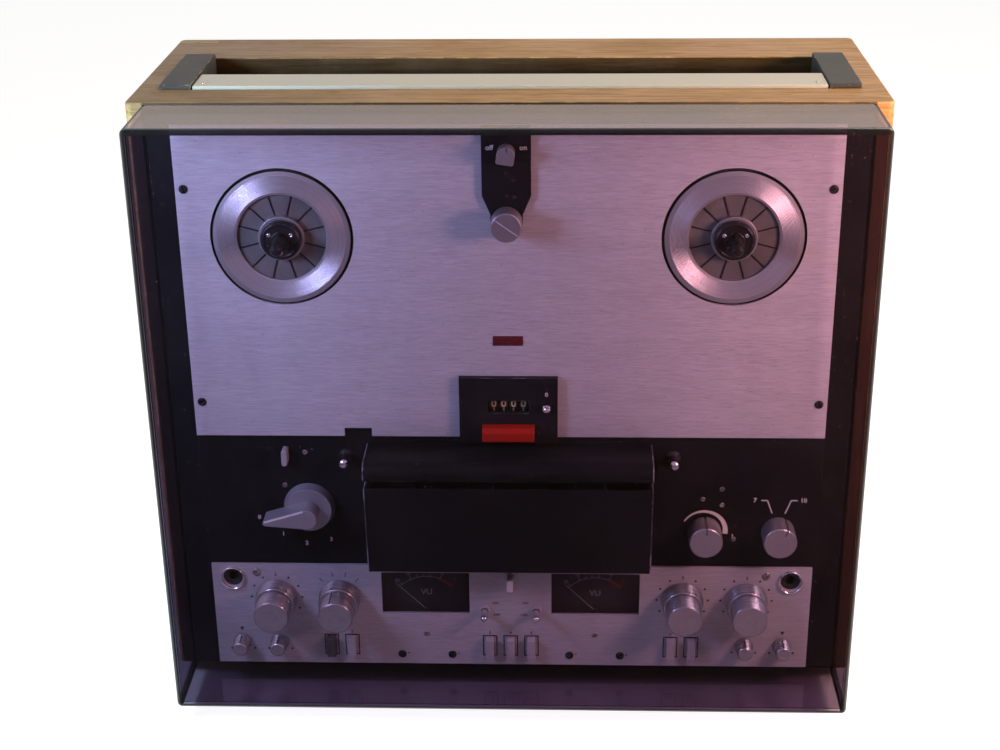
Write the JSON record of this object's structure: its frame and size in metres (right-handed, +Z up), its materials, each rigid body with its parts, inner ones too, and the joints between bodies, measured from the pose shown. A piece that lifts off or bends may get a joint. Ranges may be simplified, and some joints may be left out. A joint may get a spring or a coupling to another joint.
{
  "type": "reel-to-reel tape recorder",
  "caption": "Upright open-reel tape recorder in a wooden cabinet with smoked dust cover, turntables, head cover, knobs, meters and a pull-up carrying handle.",
  "frame": {"origin": "on the floor under the middle of the whole object, cover included", "axes": "+X to the right seen from the front, +Y to the back, +Z up"},
  "size_m": [0.489, 0.242, 0.435],
  "materials": {
    "wood": "oiled teak-like veneer with worn edges",
    "rear_black": "black stoved paint",
    "socket_metal": "plated",
    "foot_rubber": "matt",
    "bracket_black": "worn black paint",
    "deck_black": "fine black crackle paint",
    "trim_metal": "satin brushed and lacquered",
    "escutcheon_black": "fine texture",
    "pilot_red": "clear red moulding",
    "panel_metal": "satin brushed, printed",
    "meter_black": "matt black",
    "meter_clear": "clear",
    "head_cover_black": "satin",
    "head_metal": "lapped",
    "jack_chrome": "polished",
    "chassis_steel": "zinc plated",
    "motor_grey": "grey paint",
    "transformer_iron": "varnished laminations",
    "board_green": "laminate",
    "speaker_black": "paper cone and steel frame",
    "screw_steel": "blackened",
    "cover_smoke": "smoked clear acrylic",
    "handle_aluminium": "satin anodised",
    "platter_aluminium": "turned",
    "knob_aluminium": "spun with bright edges",
    "digit_cream": "cream with dark figures",
    "record_red": "moulded",
    "button_dark": "moulded",
    "button_grey": "moulded",
    "needle_cream": "matt",
    "capstan_steel": "ground",
    "roller_rubber": "ground rubber"
  },
  "bodies": {
    "recorder": {"cabinet_boards": "wood", "rear_panel": "rear_black", "rear_sockets": "socket_metal", "feet": "foot_rubber", "handle_brackets": "bracket_black", "deck_plate": "deck_black", "trim_plate": "trim_metal", "centre_escutcheons": "escutcheon_black", "pilot_lamp": "pilot_red", "control_panel": "panel_metal", "meter_cases": "meter_black", "meter_windows": "meter_clear", "head_cover": "head_cover_black", "heads_and_guides": "head_metal", "front_jacks": "jack_chrome", "chassis_frame": "chassis_steel", "drive_motors": "motor_grey", "mains_transformer": "transformer_iron", "circuit_boards": "board_green", "loudspeakers": "speaker_black", "screws": "screw_steel"},
    "dust_cover": {"dust_cover": "cover_smoke"},
    "handle_bar": {"handle_bar": "handle_aluminium"},
    "turntable_left": {"turntable_left": "platter_aluminium"},
    "turntable_right": {"turntable_right": "platter_aluminium"},
    "power_knob": {"power_knob": "knob_aluminium"},
    "spool_knob": {"spool_knob": "knob_aluminium"},
    "counter_wheels": {"counter_wheels": "digit_cream"},
    "reset_button": {"reset_button": "jack_chrome"},
    "record_button": {"record_button": "record_red"},
    "lock_release_button": {"lock_release_button": "knob_aluminium"},
    "function_knob": {"function_knob": "knob_aluminium"},
    "speed_knob": {"speed_knob": "knob_aluminium"},
    "reel_size_knob": {"reel_size_knob": "knob_aluminium"},
    "input_knob_left_outer": {"input_knob_left_outer": "knob_aluminium"},
    "input_knob_left_inner": {"input_knob_left_inner": "knob_aluminium"},
    "equaliser_knob": {"equaliser_knob": "knob_aluminium"},
    "volume_knob_outer": {"volume_knob_outer": "knob_aluminium"},
    "volume_knob_inner": {"volume_knob_inner": "knob_aluminium"},
    "input_knob_right_outer": {"input_knob_right_outer": "knob_aluminium"},
    "input_knob_right_inner": {"input_knob_right_inner": "knob_aluminium"},
    "bass_knob_left": {"bass_knob_left": "knob_aluminium"},
    "treble_knob_left": {"treble_knob_left": "knob_aluminium"},
    "treble_knob_right": {"treble_knob_right": "knob_aluminium"},
    "bass_knob_right": {"bass_knob_right": "knob_aluminium"},
    "push_button_1": {"push_button_1": "button_dark"},
    "push_button_2": {"push_button_2": "button_grey"},
    "push_button_3": {"push_button_3": "button_grey"},
    "push_button_4": {"push_button_4": "button_grey"},
    "push_button_5": {"push_button_5": "button_grey"},
    "push_button_6": {"push_button_6": "button_grey"},
    "push_button_7": {"push_button_7": "button_grey"},
    "toggle_left": {"toggle_left": "jack_chrome"},
    "toggle_right": {"toggle_right": "jack_chrome"},
    "track_lever": {"track_lever": "jack_chrome"},
    "meter_needle_left": {"meter_needle_left": "needle_cream"},
    "meter_needle_right": {"meter_needle_right": "needle_cream"},
    "capstan": {"capstan": "capstan_steel"},
    "pinch_arm": {"pinch_arm": "chassis_steel"},
    "pinch_roller": {"pinch_roller": "roller_rubber"}
  },
  "joints": [
    {"name": "cover_pull", "type": "slide", "parent": "recorder", "child": "dust_cover", "axis": [0, -1, 0], "range_m": [0, 0.15]},
    {"name": "handle_lift", "type": "slide", "parent": "recorder", "child": "handle_bar", "axis": [0, 0, 1], "range_m": [0, 0.03]},
    {"name": "supply_turn", "type": "hinge", "parent": "recorder", "child": "turntable_left", "pos_m": [-0.1456, -0.078, 0.3475], "axis": [0, -1, 0], "continuous": true},
    {"name": "take_up_turn", "type": "hinge", "parent": "recorder", "child": "turntable_right", "pos_m": [0.1456, -0.078, 0.3475], "axis": [0, -1, 0], "continuous": true},
    {"name": "power_turn", "type": "hinge", "parent": "recorder", "child": "power_knob", "pos_m": [0, -0.078, 0.4055], "axis": [0, -1, 0], "range_deg": [-16, 44]},
    {"name": "spooling_turn", "type": "hinge", "parent": "recorder", "child": "spool_knob", "pos_m": [0, -0.078, 0.36], "axis": [0, -1, 0], "range_deg": [-135, 135]},
    {"name": "counter_turn", "type": "hinge", "parent": "recorder", "child": "counter_wheels", "pos_m": [0, -0.0675, 0.2293], "axis": [1, 0, 0], "continuous": true},
    {"name": "reset_press", "type": "slide", "parent": "recorder", "child": "reset_button", "axis": [0, 1, 0], "range_m": [0, 0.003], "stiffness_N_per_m": 300},
    {"name": "record_press", "type": "slide", "parent": "recorder", "child": "record_button", "axis": [0, 1, 0], "range_m": [0, 0.004], "stiffness_N_per_m": 300},
    {"name": "lock_release_press", "type": "slide", "parent": "recorder", "child": "lock_release_button", "axis": [0, 1, 0], "range_m": [0, 0.003], "stiffness_N_per_m": 300},
    {"name": "function_turn", "type": "hinge", "parent": "recorder", "child": "function_knob", "pos_m": [-0.1385, -0.078, 0.151], "axis": [0, -1, 0], "range_deg": [0, 102]},
    {"name": "speed_turn", "type": "hinge", "parent": "recorder", "child": "speed_knob", "pos_m": [0.1345, -0.078, 0.133], "axis": [0, -1, 0], "range_deg": [-45, 45]},
    {"name": "reel_size_turn", "type": "hinge", "parent": "recorder", "child": "reel_size_knob", "pos_m": [0.185, -0.078, 0.133], "axis": [0, -1, 0], "range_deg": [0, 50]},
    {"name": "input_knob_left_outer_turn", "type": "hinge", "parent": "recorder", "child": "input_knob_left_outer", "pos_m": [-0.1657, -0.078, 0.0785], "axis": [0, -1, 0], "range_deg": [-150, 150]},
    {"name": "input_knob_left_inner_turn", "type": "hinge", "parent": "recorder", "child": "input_knob_left_inner", "pos_m": [-0.1657, -0.078, 0.0785], "axis": [0, -1, 0], "range_deg": [-150, 150]},
    {"name": "volume_knob_outer_turn", "type": "hinge", "parent": "recorder", "child": "volume_knob_outer", "pos_m": [0.1209, -0.078, 0.0785], "axis": [0, -1, 0], "range_deg": [-150, 150]},
    {"name": "volume_knob_inner_turn", "type": "hinge", "parent": "recorder", "child": "volume_knob_inner", "pos_m": [0.1209, -0.078, 0.0785], "axis": [0, -1, 0], "range_deg": [-150, 150]},
    {"name": "input_knob_right_outer_turn", "type": "hinge", "parent": "recorder", "child": "input_knob_right_outer", "pos_m": [0.1657, -0.078, 0.0785], "axis": [0, -1, 0], "range_deg": [-150, 150]},
    {"name": "input_knob_right_inner_turn", "type": "hinge", "parent": "recorder", "child": "input_knob_right_inner", "pos_m": [0.1657, -0.078, 0.0785], "axis": [0, -1, 0], "range_deg": [-150, 150]},
    {"name": "equaliser_turn", "type": "hinge", "parent": "recorder", "child": "equaliser_knob", "pos_m": [-0.1209, -0.078, 0.0785], "axis": [0, -1, 0], "range_deg": [-60, 30]},
    {"name": "bass_left_turn", "type": "hinge", "parent": "recorder", "child": "bass_knob_left", "pos_m": [-0.1925, -0.078, 0.042], "axis": [0, -1, 0], "range_deg": [-150, 150]},
    {"name": "treble_left_turn", "type": "hinge", "parent": "recorder", "child": "treble_knob_left", "pos_m": [-0.1657, -0.078, 0.042], "axis": [0, -1, 0], "range_deg": [-150, 150]},
    {"name": "treble_right_turn", "type": "hinge", "parent": "recorder", "child": "treble_knob_right", "pos_m": [0.1657, -0.078, 0.042], "axis": [0, -1, 0], "range_deg": [-150, 150]},
    {"name": "bass_right_turn", "type": "hinge", "parent": "recorder", "child": "bass_knob_right", "pos_m": [0.1925, -0.078, 0.042], "axis": [0, -1, 0], "range_deg": [-150, 150]},
    {"name": "push_button_1_press", "type": "slide", "parent": "recorder", "child": "push_button_1", "axis": [0, 1, 0], "range_m": [0, 0.0035], "stiffness_N_per_m": 300},
    {"name": "push_button_2_press", "type": "slide", "parent": "recorder", "child": "push_button_2", "axis": [0, 1, 0], "range_m": [0, 0.0035], "stiffness_N_per_m": 300},
    {"name": "push_button_3_press", "type": "slide", "parent": "recorder", "child": "push_button_3", "axis": [0, 1, 0], "range_m": [0, 0.0035], "stiffness_N_per_m": 300},
    {"name": "push_button_4_press", "type": "slide", "parent": "recorder", "child": "push_button_4", "axis": [0, 1, 0], "range_m": [0, 0.0035], "stiffness_N_per_m": 300},
    {"name": "push_button_5_press", "type": "slide", "parent": "recorder", "child": "push_button_5", "axis": [0, 1, 0], "range_m": [0, 0.0035], "stiffness_N_per_m": 300},
    {"name": "push_button_6_press", "type": "slide", "parent": "recorder", "child": "push_button_6", "axis": [0, 1, 0], "range_m": [0, 0.0035], "stiffness_N_per_m": 300},
    {"name": "push_button_7_press", "type": "slide", "parent": "recorder", "child": "push_button_7", "axis": [0, 1, 0], "range_m": [0, 0.0035], "stiffness_N_per_m": 300},
    {"name": "toggle_left_tilt", "type": "hinge", "parent": "recorder", "child": "toggle_left", "pos_m": [-0.0182, -0.0784, 0.0695], "axis": [1, 0, 0], "range_deg": [-12, 12]},
    {"name": "toggle_right_tilt", "type": "hinge", "parent": "recorder", "child": "toggle_right", "pos_m": [0.0182, -0.0784, 0.0695], "axis": [1, 0, 0], "range_deg": [-12, 12]},
    {"name": "track_lever_tilt", "type": "hinge", "parent": "recorder", "child": "track_lever", "pos_m": [0, -0.0784, 0.098], "axis": [0, 0, 1], "range_deg": [-12, 12]},
    {"name": "meter_left_swing", "type": "hinge", "parent": "recorder", "child": "meter_needle_left", "pos_m": [-0.0599, -0.069, 0.0651], "axis": [0, -1, 0], "range_deg": [-90, 0], "stiffness_Nm_per_rad": 0.002},
    {"name": "meter_right_swing", "type": "hinge", "parent": "recorder", "child": "meter_needle_right", "pos_m": [0.0599, -0.069, 0.0651], "axis": [0, -1, 0], "range_deg": [-90, 0], "stiffness_Nm_per_rad": 0.002},
    {"name": "capstan_turn", "type": "hinge", "parent": "recorder", "child": "capstan", "pos_m": [0.058, -0.078, 0.1871], "axis": [0, -1, 0], "continuous": true},
    {"name": "pinch_swing", "type": "hinge", "parent": "recorder", "child": "pinch_arm", "pos_m": [0.08, -0.078, 0.1498], "axis": [0, -1, 0], "range_deg": [-8.2, 0]},
    {"name": "pinch_roller_turn", "type": "hinge", "parent": "pinch_arm", "child": "pinch_roller", "pos_m": [0.055, -0.078, 0.1693], "axis": [0, -1, 0], "continuous": true}
  ],
  "couplings": [
    {"joint": "counter_turn", "follows": "take_up_turn", "ratio": 0.1},
    {"joint": "pinch_swing", "follows": "function_turn", "ratio": -0.078431}
  ]
}
